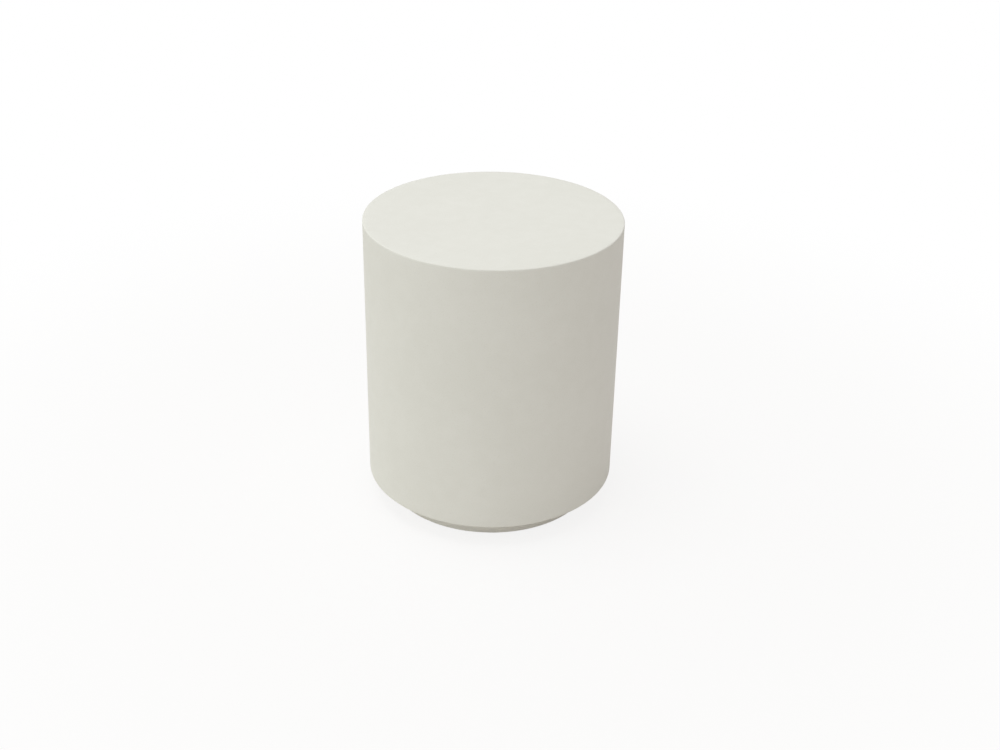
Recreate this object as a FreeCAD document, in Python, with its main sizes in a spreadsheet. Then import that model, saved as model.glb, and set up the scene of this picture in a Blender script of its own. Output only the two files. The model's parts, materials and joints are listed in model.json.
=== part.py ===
import FreeCAD, Part
import math
import os

import Sketcher

# Round side table: a hollow cast drum on a recessed plinth with levelling feet.
# The origin is on the floor under the middle of the table, and Z points up.

# Driving sizes in millimetres, degrees and counts
SIZES = {
    # Drum
    "drum_diameter": 432,
    "overall_height": 508,
    "wall_thickness": 12,
    "top_thickness": 20,
    "rim_rounding": 2,
    "lower_edge_rounding": 3,
    "inner_corner_rounding": 20,
    "boss_cover": 10,
    "boss_rounding": 5,
    # Plinth
    "toe_height": 37,
    "toe_recess": 35,
    "plinth_width": 56,
    "plinth_edge_rounding": 2,
    # Base panel and its sealant
    "panel_thickness": 18,
    "panel_inset": 6,
    "panel_gap": 1.5,
    "bead_size": 2,
    "bead_depth": 6,
    # Screws, washers and inserts that hold the panel to the drum and the plinth to the panel
    "shell_screw_count": 6,
    "plinth_screw_count": 4,
    "screw_diameter": 6,
    "screw_hole_gap": 0.3,
    "screw_thread_gap": 0.1,
    "screw_engagement": 11,
    "screw_head_diameter": 10.5,
    "screw_head_height": 3.3,
    "screw_head_rounding": 2,
    "screw_key": 4,
    "screw_key_depth": 2,
    "washer_diameter": 12,
    "washer_thickness": 1.6,
    "insert_diameter": 9,
    "insert_length": 14,
    "insert_bond_gap": 0.1,
    "insert_end_room": 2,
    # Levelling feet
    "leveller_count": 4,
    "first_leveller_angle": 45,
    "leveller_travel": 12,
    "leveller_engagement": 8,
    "leveller_insert_diameter": 12,
    "leveller_insert_length": 16,
    "stem_diameter": 8,
    "stem_fit_gap": 0.05,
    "stem_tip_chamfer": 1,
    "stem_end_room": 2,
    "stem_head_diameter": 13,
    "stem_head_height": 3,
    "stem_key": 4,
    "stem_key_depth": 2,
    "foot_diameter": 30,
    "foot_floor": 3,
    "foot_lip": 3.4,
    "foot_rounding": 2,
    "foot_lift": 1,
    "foot_key_hole": 7,
    "foot_top_gap": 0.3,
    "foot_side_gap": 3,
    "swivel_gap": 0.3,
    # Felt under the plinth
    "felt_thickness": 2.5,
    "felt_inset": 6,
}

# Radii from the table's axis
DRUM_RADIUS = "sizes.drum_diameter / 2"
INNER_RADIUS = f"({DRUM_RADIUS} - sizes.wall_thickness)"
PANEL_RADIUS = f"({INNER_RADIUS} - sizes.panel_gap)"
PLINTH_RADIUS = f"({DRUM_RADIUS} - sizes.toe_recess)"
PLINTH_HOLE_RADIUS = f"({PLINTH_RADIUS} - sizes.plinth_width)"
PLINTH_CIRCLE = f"({PLINTH_RADIUS} - sizes.plinth_width / 2)"
SHELL_CIRCLE = f"(({PLINTH_RADIUS} + {INNER_RADIUS}) / 2)"
BOSS_NOSE = f"({SHELL_CIRCLE} - sizes.insert_diameter / 2 - sizes.boss_cover)"
BOSS_ROOT = f"({INNER_RADIUS} + sizes.wall_thickness / 2)"

# Heights above the floor
TOP_UNDERSIDE = "(sizes.overall_height - sizes.top_thickness)"
PANEL_BOTTOM = "(sizes.toe_height + sizes.panel_inset)"
PANEL_TOP = f"({PANEL_BOTTOM} + sizes.panel_thickness)"
BOSS_SHOULDER = f"({PANEL_TOP} + sizes.insert_length + sizes.boss_cover)"
BOSS_PEAK = f"({BOSS_SHOULDER} + {BOSS_ROOT} - {BOSS_NOSE})"

# Heights of a wound-in levelling foot
POCKET_FLOOR = "(sizes.foot_lift + sizes.foot_floor)"
HEAD_BOTTOM = f"({POCKET_FLOOR} + sizes.swivel_gap)"
HEAD_TOP = f"({HEAD_BOTTOM} + sizes.stem_head_height)"
POCKET_TOP = f"({HEAD_TOP} + sizes.swivel_gap)"
FOOT_TOP = f"({POCKET_TOP} + sizes.foot_lip)"
RECESS_TOP = f"({FOOT_TOP} + sizes.foot_top_gap)"
STEM_TOP = f"({RECESS_TOP} + sizes.leveller_travel + sizes.leveller_engagement)"
RECESS_RADIUS = "(sizes.foot_diameter / 2 + sizes.foot_side_gap)"

# Room that every cut has beyond the face where it starts or ends
CUT_ROOM = 1
FULL_TURN = 360
HEXAGON_SIDES = 6
EDGE_TOLERANCE = 0.001

# A sketch's own level and upright axes, and the ends of a line, as its constraints number them
LEVEL_AXIS_INDEX = -1
UPRIGHT_AXIS_INDEX = -2
START_INDEX = 1
END_INDEX = 2

# Stands in for a size or an angle until its expression is worked out
UNSET = 1.0

doc = FreeCAD.newDocument("side_table")
sizes = doc.addObject("Spreadsheet::Sheet", "sizes")
for row, (alias, size) in enumerate(SIZES.items(), start=1):
    sizes.set(f"A{row}", alias.replace("_", " "))
    sizes.set(f"B{row}", str(size))
    sizes.setAlias(f"B{row}", alias)
doc.recompute()

subparts = []


def new_subpart(label):
    """An empty body, which is written to a file of its own name."""
    body = doc.addObject("PartDesign::Body", label)
    body.Label = label
    subparts.append(body)
    return body


def origin_feature(body, role):
    """One of the planes or axes of a body's own origin."""
    return next(item for item in body.Origin.OriginFeatures if item.Role == role)


def upright_sketch(body, name):
    """An empty sketch on the plane through the body's axis, with X outwards and Y up."""
    sketch = body.newObject("Sketcher::SketchObject", name)
    sketch.AttachmentSupport = [(origin_feature(body, "XZ_Plane"), "")]
    sketch.MapMode = "FlatFace"
    return sketch


def bind(sketch, kind, line, distance):
    """Hold the start of a line at a distance from the sketch's origin, read from the sizes."""
    start_to_start = (LEVEL_AXIS_INDEX, START_INDEX, line, START_INDEX)
    number = sketch.addConstraint(Sketcher.Constraint(kind, *start_to_start, UNSET))
    sketch.setExpression(f"Constraints[{number}]", str(distance))


def draw_outline(sketch, points, axis_x=None):
    """A closed outline through points (radius, height); a radius of None lies on the turning axis."""
    count = len(points)
    corners = []
    for number in range(count):
        turn = 2 * math.pi * number / count
        corners.append(FreeCAD.Vector(math.cos(turn), math.sin(turn), 0))
    for start, end in zip(corners, corners[1:] + corners[:1]):
        sketch.addGeometry(Part.LineSegment(start, end), False)
    for line in range(count):
        end_to_start = (line, END_INDEX, (line + 1) % count, START_INDEX)
        sketch.addConstraint(Sketcher.Constraint("Coincident", *end_to_start))
    axis = UPRIGHT_AXIS_INDEX
    if axis_x is not None:
        axis = sketch.addGeometry(Part.LineSegment(corners[1], corners[0]), True)
        sketch.addConstraint(Sketcher.Constraint("Vertical", axis))
        bind(sketch, "DistanceX", axis, axis_x)
    for line, (radius, height) in enumerate(points):
        if radius is None:
            sketch.addConstraint(Sketcher.Constraint("PointOnObject", line, START_INDEX, axis))
        elif axis_x is None:
            bind(sketch, "DistanceX", line, radius)
        else:
            bind(sketch, "DistanceX", line, f"{axis_x} + {radius}")
        bind(sketch, "DistanceY", line, height)


def turn_outline(body, name, points, cut=False, axis_x=None, start_angle=None):
    """Turn an outline about the body's axis, or about an upright line beside it, to add or cut."""
    sketch = upright_sketch(body, f"{name}_outline")
    if start_angle is not None:
        sketch.AttachmentOffset = FreeCAD.Placement(
            FreeCAD.Vector(), FreeCAD.Rotation(FreeCAD.Vector(0, 1, 0), UNSET)
        )
        sketch.setExpression("AttachmentOffset.Rotation.Angle", start_angle)
    draw_outline(sketch, points, axis_x)
    feature = body.newObject("PartDesign::Groove" if cut else "PartDesign::Revolution", name)
    feature.Profile = sketch
    feature.ReferenceAxis = (sketch, ["V_Axis" if axis_x is None else "Axis0"])
    feature.Angle = FULL_TURN
    doc.recompute()
    return feature


def repeat_round(body, feature, count):
    """Repeat a feature evenly round the body's axis."""
    pattern = body.newObject("PartDesign::PolarPattern", f"{feature.Name}_ring")
    pattern.Originals = [feature]
    pattern.Axis = (origin_feature(body, "Z_Axis"), [""])
    pattern.Angle = FULL_TURN
    pattern.setExpression("Occurrences", count)
    body.Tip = pattern
    doc.recompute()


def drill_round(body, name, points, circle, count, start_angle="0"):
    """Cut the same turned hole at even steps round the body's axis."""
    hole = turn_outline(body, name, points, cut=True, axis_x=circle, start_angle=start_angle)
    repeat_round(body, hole, count)


def round_edges(body, name, radius, wanted):
    """Round every edge of the body that the test picks out."""
    base = body.Tip
    edges = [f"Edge{number}" for number, edge in enumerate(base.Shape.Edges, start=1) if wanted(edge)]
    fillet = body.newObject("PartDesign::Fillet", name)
    fillet.Base = (base, edges)
    fillet.setExpression("Radius", radius)
    doc.recompute()


def round_circle(body, name, radius, circle_radius, height):
    """Round the level round edges that have the given radius and height."""

    def on_circle(edge):
        if not isinstance(edge.Curve, Part.Circle):
            return False
        wide = abs(edge.Curve.Radius - circle_radius) < EDGE_TOLERANCE
        return wide and abs(edge.Curve.Center.z - height) < EDGE_TOLERANCE

    round_edges(body, name, radius, on_circle)


def sink_hexagon(body, name, flats, depth, height):
    """Sink a hexagon socket upwards from a height on the body's axis."""
    socket = body.newObject("PartDesign::SubtractivePrism", name)
    socket.AttachmentSupport = [(origin_feature(body, "XY_Plane"), "")]
    socket.MapMode = "FlatFace"
    socket.Polygon = HEXAGON_SIDES
    socket.setExpression("Circumradius", f"{flats} / 2 / cos(180 / {HEXAGON_SIDES})")
    socket.setExpression("Height", depth)
    socket.setExpression("AttachmentOffset.Base.z", height)
    doc.recompute()


def place_on_circle(body, circle, angle, height, upside_down=False):
    """Stand a body on a circle round the table's axis, pointing up or down."""
    tilt = FULL_TURN / 2 if upside_down else 0
    body.Placement = FreeCAD.Placement(
        FreeCAD.Vector(), FreeCAD.Rotation(FreeCAD.Vector(1, 0, 0), tilt)
    )
    body.setExpression("Placement.Base.x", f"{circle} * cos({angle})")
    body.setExpression("Placement.Base.y", f"{circle} * sin({angle})")
    body.setExpression("Placement.Base.z", height)


def step_angle(number, count, start="0"):
    """The angle of one of several even steps round the table's axis."""
    return f"({start} + {FULL_TURN} / {count} * {number})"


# Drum: top and wall in one casting, open below, with bosses for the panel's screws
def make_drum():
    body = new_subpart("drum_shell")
    turn_outline(
        body,
        "drum_wall",
        [
            (None, "sizes.overall_height"),
            (DRUM_RADIUS, "sizes.overall_height"),
            (DRUM_RADIUS, "sizes.toe_height"),
            (INNER_RADIUS, "sizes.toe_height"),
            (INNER_RADIUS, TOP_UNDERSIDE),
            (None, TOP_UNDERSIDE),
        ],
    )
    outer = sizes.drum_diameter / 2
    inner = outer - sizes.wall_thickness
    underside = sizes.overall_height - sizes.top_thickness
    round_circle(body, "rim", "sizes.rim_rounding", outer, sizes.overall_height)
    round_circle(body, "lower_edge", "sizes.lower_edge_rounding", outer, sizes.toe_height)
    round_circle(body, "inner_corner", "sizes.inner_corner_rounding", inner, underside)

    boss_sketch = upright_sketch(body, "boss_side")
    draw_outline(
        boss_sketch,
        [
            (BOSS_NOSE, PANEL_TOP),
            (BOSS_ROOT, PANEL_TOP),
            (BOSS_ROOT, BOSS_PEAK),
            (BOSS_NOSE, BOSS_SHOULDER),
        ],
    )
    boss = body.newObject("PartDesign::Pad", "boss")
    boss.Profile = boss_sketch
    boss.Midplane = True
    boss.setExpression("Length", "sizes.insert_diameter + 2 * sizes.boss_cover")
    doc.recompute()
    repeat_round(body, boss, "sizes.shell_screw_count")

    half_width = sizes.insert_diameter / 2 + sizes.boss_cover
    nose = (outer - sizes.toe_recess + inner) / 2 - half_width
    corner_radius = math.hypot(nose, half_width)

    def on_nose(edge):
        first, last = edge.Vertexes[0].Point, edge.Vertexes[-1].Point
        upright = (first - last).Length > EDGE_TOLERANCE and math.hypot(
            first.x - last.x, first.y - last.y
        ) < EDGE_TOLERANCE
        return upright and abs(math.hypot(first.x, first.y) - corner_radius) < EDGE_TOLERANCE

    round_edges(body, "boss_corners", "sizes.boss_rounding", on_nose)
    hole_radius = "(sizes.insert_diameter / 2 + sizes.insert_bond_gap)"
    hole_top = f"({PANEL_TOP} + sizes.insert_length + sizes.insert_end_room)"
    drill_round(
        body,
        "shell_insert_hole",
        [
            (None, f"{PANEL_TOP} - {CUT_ROOM}"),
            (hole_radius, f"{PANEL_TOP} - {CUT_ROOM}"),
            (hole_radius, hole_top),
            (None, hole_top),
        ],
        SHELL_CIRCLE,
        "sizes.shell_screw_count",
    )


# Base panel: a plywood disc with two rings of screw holes
def make_panel():
    body = new_subpart("base_panel")
    turn_outline(
        body,
        "disc",
        [
            (None, PANEL_BOTTOM),
            (PANEL_RADIUS, PANEL_BOTTOM),
            (PANEL_RADIUS, PANEL_TOP),
            (None, PANEL_TOP),
        ],
    )
    hole_radius = "(sizes.screw_diameter / 2 + sizes.screw_hole_gap)"
    hole = [
        (None, f"{PANEL_BOTTOM} - {CUT_ROOM}"),
        (hole_radius, f"{PANEL_BOTTOM} - {CUT_ROOM}"),
        (hole_radius, f"{PANEL_TOP} + {CUT_ROOM}"),
        (None, f"{PANEL_TOP} + {CUT_ROOM}"),
    ]
    drill_round(body, "shell_screw_hole", hole, SHELL_CIRCLE, "sizes.shell_screw_count")
    drill_round(body, "plinth_screw_hole", hole, PLINTH_CIRCLE, "sizes.plinth_screw_count")


# Sealant: a bead that fills the gap round the panel and the corner below it
def make_seal():
    body = new_subpart("edge_seal")
    turn_outline(
        body,
        "bead",
        [
            (PANEL_RADIUS, f"{PANEL_BOTTOM} + sizes.bead_depth"),
            (PANEL_RADIUS, PANEL_BOTTOM),
            (f"{PANEL_RADIUS} - sizes.bead_size", PANEL_BOTTOM),
            (INNER_RADIUS, f"{PANEL_BOTTOM} - sizes.bead_size - sizes.panel_gap"),
            (INNER_RADIUS, f"{PANEL_BOTTOM} + sizes.bead_depth"),
        ],
    )


# Plinth: a cast ring with insert holes in its top and recesses for the levelling feet below
def make_plinth():
    body = new_subpart("plinth_ring")
    turn_outline(
        body,
        "ring",
        [
            (PLINTH_HOLE_RADIUS, "sizes.felt_thickness"),
            (PLINTH_RADIUS, "sizes.felt_thickness"),
            (PLINTH_RADIUS, PANEL_BOTTOM),
            (PLINTH_HOLE_RADIUS, PANEL_BOTTOM),
        ],
    )
    outer = sizes.drum_diameter / 2 - sizes.toe_recess
    round_circle(body, "plinth_edge", "sizes.plinth_edge_rounding", outer, sizes.felt_thickness)
    insert_radius = "(sizes.insert_diameter / 2 + sizes.insert_bond_gap)"
    insert_bottom = f"({PANEL_BOTTOM} - sizes.insert_length - sizes.insert_end_room)"
    drill_round(
        body,
        "plinth_insert_hole",
        [
            (None, f"{PANEL_BOTTOM} + {CUT_ROOM}"),
            (insert_radius, f"{PANEL_BOTTOM} + {CUT_ROOM}"),
            (insert_radius, insert_bottom),
            (None, insert_bottom),
        ],
        PLINTH_CIRCLE,
        "sizes.plinth_screw_count",
    )
    leveller_radius = "(sizes.leveller_insert_diameter / 2 + sizes.insert_bond_gap)"
    stem_room_radius = "(sizes.stem_diameter / 2 + sizes.screw_hole_gap)"
    insert_top = f"({RECESS_TOP} + sizes.leveller_insert_length)"
    stem_room_top = f"({STEM_TOP} + sizes.stem_end_room)"
    drill_round(
        body,
        "leveller_recess",
        [
            (None, f"sizes.felt_thickness - {CUT_ROOM}"),
            (RECESS_RADIUS, f"sizes.felt_thickness - {CUT_ROOM}"),
            (RECESS_RADIUS, RECESS_TOP),
            (leveller_radius, RECESS_TOP),
            (leveller_radius, insert_top),
            (stem_room_radius, insert_top),
            (stem_room_radius, stem_room_top),
            (None, stem_room_top),
        ],
        PLINTH_CIRCLE,
        "sizes.leveller_count",
        "sizes.first_leveller_angle",
    )


# Felt: one strip under the plinth between each two levelling feet
def make_felt(number):
    body = new_subpart(f"felt_strip_{number + 1}")
    inner = f"({PLINTH_HOLE_RADIUS} + sizes.felt_inset)"
    outer = f"({PLINTH_RADIUS} - sizes.felt_inset)"
    strip = turn_outline(
        body,
        "strip",
        [(inner, "0"), (outer, "0"), (outer, "sizes.felt_thickness"), (inner, "sizes.felt_thickness")],
    )
    strip.Midplane = True
    end_angle = f"asin(({RECESS_RADIUS} + sizes.felt_inset) / {PLINTH_CIRCLE})"
    strip.setExpression("Angle", f"{FULL_TURN} deg / sizes.leveller_count - 2 * {end_angle}")
    middle = step_angle(number + 0.5, "sizes.leveller_count", "sizes.first_leveller_angle")
    body.setExpression("Placement.Rotation.Angle", middle)


# Threaded insert: a plain brass sleeve with its mouth at its origin
def make_insert(label, bore_radius, outer_diameter, length):
    body = new_subpart(label)
    outer = f"{outer_diameter} / 2"
    turn_outline(
        body,
        "sleeve",
        [(bore_radius, "0"), (outer, "0"), (outer, length), (bore_radius, length)],
    )
    return body


# Washer: a flat ring just below its origin
def make_washer(label):
    body = new_subpart(label)
    inner = "(sizes.screw_diameter / 2 + sizes.screw_hole_gap)"
    outer = "sizes.washer_diameter / 2"
    bottom = "-sizes.washer_thickness"
    turn_outline(body, "ring", [(inner, bottom), (outer, bottom), (outer, "0"), (inner, "0")])
    return body


# Screw: a domed head with a hexagon socket, and a shank through the panel into an insert
def make_screw(label):
    body = new_subpart(label)
    shank = "sizes.screw_diameter / 2"
    head = "sizes.screw_head_diameter / 2"
    head_bottom = "(-sizes.washer_thickness - sizes.screw_head_height)"
    tip = "(sizes.panel_thickness + sizes.screw_engagement)"
    turn_outline(
        body,
        "shank_and_head",
        [
            (None, head_bottom),
            (head, head_bottom),
            (head, "-sizes.washer_thickness"),
            (shank, "-sizes.washer_thickness"),
            (shank, tip),
            (None, tip),
        ],
    )
    crown = -sizes.washer_thickness - sizes.screw_head_height
    round_circle(body, "dome", "sizes.screw_head_rounding", sizes.screw_head_diameter / 2, crown)
    sink_hexagon(body, "socket", "sizes.screw_key", "sizes.screw_key_depth", head_bottom)
    return body


# Levelling stem: a threaded rod whose wide head turns in the foot
def make_stem(label):
    body = new_subpart(label)
    rod = "(sizes.stem_diameter / 2 - sizes.stem_fit_gap)"
    head = "sizes.stem_head_diameter / 2"
    turn_outline(
        body,
        "rod_and_head",
        [
            (None, HEAD_BOTTOM),
            (head, HEAD_BOTTOM),
            (head, HEAD_TOP),
            (rod, HEAD_TOP),
            (rod, f"{STEM_TOP} - sizes.stem_tip_chamfer"),
            (f"{rod} - sizes.stem_tip_chamfer", STEM_TOP),
            (None, STEM_TOP),
        ],
    )
    sink_hexagon(body, "socket", "sizes.stem_key", "sizes.stem_key_depth", HEAD_BOTTOM)
    return body


# Levelling foot: a disc that holds the stem's head in a pocket, with a hole for the key below
def make_foot(label):
    body = new_subpart(label)
    key_hole = "sizes.foot_key_hole / 2"
    outer = "sizes.foot_diameter / 2"
    neck = "(sizes.stem_diameter / 2 + sizes.swivel_gap)"
    pocket = "(sizes.stem_head_diameter / 2 + sizes.swivel_gap)"
    turn_outline(
        body,
        "disc",
        [
            (key_hole, "sizes.foot_lift"),
            (outer, "sizes.foot_lift"),
            (outer, FOOT_TOP),
            (neck, FOOT_TOP),
            (neck, POCKET_TOP),
            (pocket, POCKET_TOP),
            (pocket, POCKET_FLOOR),
            (key_hole, POCKET_FLOOR),
        ],
    )
    round_circle(body, "sole", "sizes.foot_rounding", sizes.foot_diameter / 2, sizes.foot_lift)
    return body


make_drum()
make_panel()
make_seal()
make_plinth()
screw_bore = "(sizes.screw_diameter / 2 + sizes.screw_thread_gap)"

for number in range(int(sizes.shell_screw_count)):
    angle = step_angle(number, "sizes.shell_screw_count")
    insert = make_insert(
        f"shell_insert_{number + 1}", screw_bore, "sizes.insert_diameter", "sizes.insert_length"
    )
    place_on_circle(insert, SHELL_CIRCLE, angle, PANEL_TOP)
    place_on_circle(make_washer(f"shell_washer_{number + 1}"), SHELL_CIRCLE, angle, PANEL_BOTTOM)
    place_on_circle(make_screw(f"shell_screw_{number + 1}"), SHELL_CIRCLE, angle, PANEL_BOTTOM)

for number in range(int(sizes.plinth_screw_count)):
    angle = step_angle(number, "sizes.plinth_screw_count")
    insert = make_insert(
        f"plinth_insert_{number + 1}", screw_bore, "sizes.insert_diameter", "sizes.insert_length"
    )
    washer = make_washer(f"plinth_washer_{number + 1}")
    screw = make_screw(f"plinth_screw_{number + 1}")
    place_on_circle(insert, PLINTH_CIRCLE, angle, PANEL_BOTTOM, upside_down=True)
    place_on_circle(washer, PLINTH_CIRCLE, angle, PANEL_TOP, upside_down=True)
    place_on_circle(screw, PLINTH_CIRCLE, angle, PANEL_TOP, upside_down=True)

for number in range(int(sizes.leveller_count)):
    angle = step_angle(number, "sizes.leveller_count", "sizes.first_leveller_angle")
    insert = make_insert(
        f"leveller_insert_{number + 1}",
        "sizes.stem_diameter / 2",
        "sizes.leveller_insert_diameter",
        "sizes.leveller_insert_length",
    )
    place_on_circle(insert, PLINTH_CIRCLE, angle, RECESS_TOP)
    place_on_circle(make_stem(f"leveller_stem_{number + 1}"), PLINTH_CIRCLE, angle, "0")
    place_on_circle(make_foot(f"leveller_foot_{number + 1}"), PLINTH_CIRCLE, angle, "0")
    make_felt(number)

doc.recompute()

failed = [item.Label for item in doc.Objects if {"Invalid", "Error"} & set(item.State)]
failed += [body.Label for body in subparts if body.Shape.isNull() or not body.Shape.isValid()]
if failed:
    raise RuntimeError("not built: " + ", ".join(failed))

os.makedirs("parts", exist_ok=True)
for body in subparts:
    body.Shape.exportStep(f"parts/{body.Label}.step")
    print(body.Label, len(body.Shape.Solids), "solid", round(body.Shape.Volume), "cubic mm")
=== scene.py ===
# %% [markdown]
# # Dressing a cast concrete side table
#
# The table is a hollow drum of pale, sealed concrete on a recessed plinth. Its solids come from
# a CAD model, and this lesson gives them their looks. Everything is in metres and in the CAD
# model's own frame, with Z up and the floor at zero, so a piece that is built at its real size
# is already in its place.

# %% Load the solids
import json
import math

import bmesh
import bpy
from mathutils import Matrix, Vector, noise


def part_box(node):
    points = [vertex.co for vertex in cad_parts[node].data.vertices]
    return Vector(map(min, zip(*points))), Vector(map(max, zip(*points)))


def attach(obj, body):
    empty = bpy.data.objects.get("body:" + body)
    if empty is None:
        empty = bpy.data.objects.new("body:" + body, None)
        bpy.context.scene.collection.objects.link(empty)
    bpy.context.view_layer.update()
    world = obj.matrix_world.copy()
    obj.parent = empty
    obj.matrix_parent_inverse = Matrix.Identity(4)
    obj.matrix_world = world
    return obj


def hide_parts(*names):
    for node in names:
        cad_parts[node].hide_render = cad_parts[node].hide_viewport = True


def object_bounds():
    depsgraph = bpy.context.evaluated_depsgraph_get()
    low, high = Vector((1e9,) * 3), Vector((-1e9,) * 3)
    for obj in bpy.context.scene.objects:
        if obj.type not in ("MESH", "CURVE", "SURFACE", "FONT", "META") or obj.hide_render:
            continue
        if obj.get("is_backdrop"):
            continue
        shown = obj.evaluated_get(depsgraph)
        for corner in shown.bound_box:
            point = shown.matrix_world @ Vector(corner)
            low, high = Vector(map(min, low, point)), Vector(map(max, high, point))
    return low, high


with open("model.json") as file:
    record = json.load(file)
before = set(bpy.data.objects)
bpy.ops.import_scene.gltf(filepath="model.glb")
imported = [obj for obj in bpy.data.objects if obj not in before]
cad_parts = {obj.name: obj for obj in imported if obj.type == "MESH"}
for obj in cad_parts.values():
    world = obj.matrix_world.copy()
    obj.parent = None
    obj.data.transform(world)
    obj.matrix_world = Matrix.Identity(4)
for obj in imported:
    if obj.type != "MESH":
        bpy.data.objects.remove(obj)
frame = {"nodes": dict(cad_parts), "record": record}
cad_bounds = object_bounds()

# %% [markdown]
# ## Sizes
#
# Sizes could be typed in again, but then they would part from the CAD model at its next change. A
# box round a solid tells most of what a piece needs to know. The radii of the two castings come from
# their points instead: the points of a faceted circle lie on the true one, while its flats fall short.
# Rounding to a tenth of a millimetre takes out what a mesh loses in its last digits.

# %% Read sizes from the solids
DECIMALS = 4


def solid_box(node):
    low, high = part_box(node)
    return Vector([round(v, DECIMALS) for v in low]), Vector([round(v, DECIMALS) for v in high])


def solid_radii(node):
    lengths = [vertex.co.xy.length for vertex in frame["nodes"][node].data.vertices]
    return round(min(lengths), DECIMALS), round(max(lengths), DECIMALS)


drum_low, drum_high = solid_box("drum_shell")
plinth_low, plinth_high = solid_box("plinth_ring")
DRUM_RADIUS = solid_radii("drum_shell")[1]
PLINTH_BORE, PLINTH_RADIUS = solid_radii("plinth_ring")
print("drum radius", DRUM_RADIUS, "from", drum_low.z, "to", drum_high.z)
print("plinth radius", PLINTH_RADIUS, "and bore", PLINTH_BORE)

# %% [markdown]
# ## Camera
#
# The camera stands where the photograph was taken from. It could be moved by eye until two outlines
# agree. Here its distance, height and focal length were fitted to the rim, the lower edge and the
# sides of the drum, which is good to half a pixel. The table isn't quite in the middle of the
# picture and leans by about a degree, so the camera is first aimed at the table's middle and
# then turned a little in its own axes.

# %% Set the camera
IMAGE_WIDTH = 1000
IMAGE_HEIGHT = 750
FOCAL_PIXELS = 1387
SENSOR_WIDTH = 36
VIEW_DISTANCE = 11.14 * DRUM_RADIUS
VIEW_ELEVATION = math.radians(27.5)
VIEW_ROLL = math.radians(0.87)
MIDDLE_PIXEL = (491.3, 353.5)

middle = Vector((0, 0, drum_high.z / 2))
towards_camera = Vector((0, -math.cos(VIEW_ELEVATION), math.sin(VIEW_ELEVATION)))
right = (MIDDLE_PIXEL[0] - IMAGE_WIDTH / 2) / FOCAL_PIXELS
up = (IMAGE_HEIGHT / 2 - MIDDLE_PIXEL[1]) / FOCAL_PIXELS
yaw = Matrix.Rotation(math.atan(right), 4, "Y")
pitch = Matrix.Rotation(-math.atan2(up, math.hypot(1, right)), 4, "X")
roll = Matrix.Rotation(VIEW_ROLL, 4, "Z")
aim = towards_camera.to_track_quat("Z", "Y").to_matrix().to_4x4()
stand = Matrix.Translation(middle + towards_camera * VIEW_DISTANCE)

camera = bpy.data.objects.new("camera", bpy.data.cameras.new("camera"))
camera.data.sensor_width = SENSOR_WIDTH
camera.data.lens = FOCAL_PIXELS * SENSOR_WIDTH / IMAGE_WIDTH
camera.matrix_world = stand @ aim @ pitch @ yaw @ roll
bpy.context.scene.collection.objects.link(camera)
bpy.context.scene.camera = camera
print("lens", round(camera.data.lens, 2), "mm at", round(VIEW_DISTANCE, 3), "m")

# %% [markdown]
# ## Shader arithmetic
#
# A finish is a graph of nodes. It could be wired node by node, but sums on a surface read best as
# plain formulas. `Value` wraps one socket and turns each operator into a Math node, so `1 - mask`
# or `0.5 * grain + 0.2` can be written as they are, and `first | second` is the greater of two
# masks. `rise` climbs smoothly from 0 to 1 between two values, which makes a mask from a noise.

# %% Wrap a socket
class Value:
    def __init__(self, graph, socket):
        self.graph = graph
        self.socket = socket

    def math_node(self, operation, other=0.0, swapped=False):
        pair = (other, self) if swapped else (self, other)
        return self.graph.node("ShaderNodeMath", {"operation": operation}, dict(enumerate(pair)))

    def __add__(self, other):
        return self.math_node("ADD", other)

    def __sub__(self, other):
        return self.math_node("SUBTRACT", other)

    def __rsub__(self, other):
        return self.math_node("SUBTRACT", other, swapped=True)

    def __mul__(self, other):
        return self.math_node("MULTIPLY", other)

    def __or__(self, other):
        return self.math_node("MAXIMUM", other)

    __radd__ = __add__
    __rmul__ = __mul__

    def rise(self, low, high):
        settings = {"interpolation_type": "SMOOTHSTEP"}
        inputs = {"Value": self, "From Min": low, "From Max": high}
        return self.graph.node("ShaderNodeMapRange", settings, inputs)


# %% [markdown]
# `Graph` adds nodes to a material or to the world. Its method `node` makes any node from its type,
# its settings and what goes into its sockets. The others are short names for what the finishes use
# most: a place on the surface in metres, a noise whose lumps have a given size, a mix of two
# colours and a relief. Colours go through a Mix node, because a Math node would turn them grey. A Mix
# node has sockets of the same names for numbers, vectors and colours, so those for colours are
# picked by their numbers.

# %% Build a graph
MIX_SHARE = 0
MIX_FIRST = 6
MIX_SECOND = 7
MIX_RESULT = 2


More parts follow.
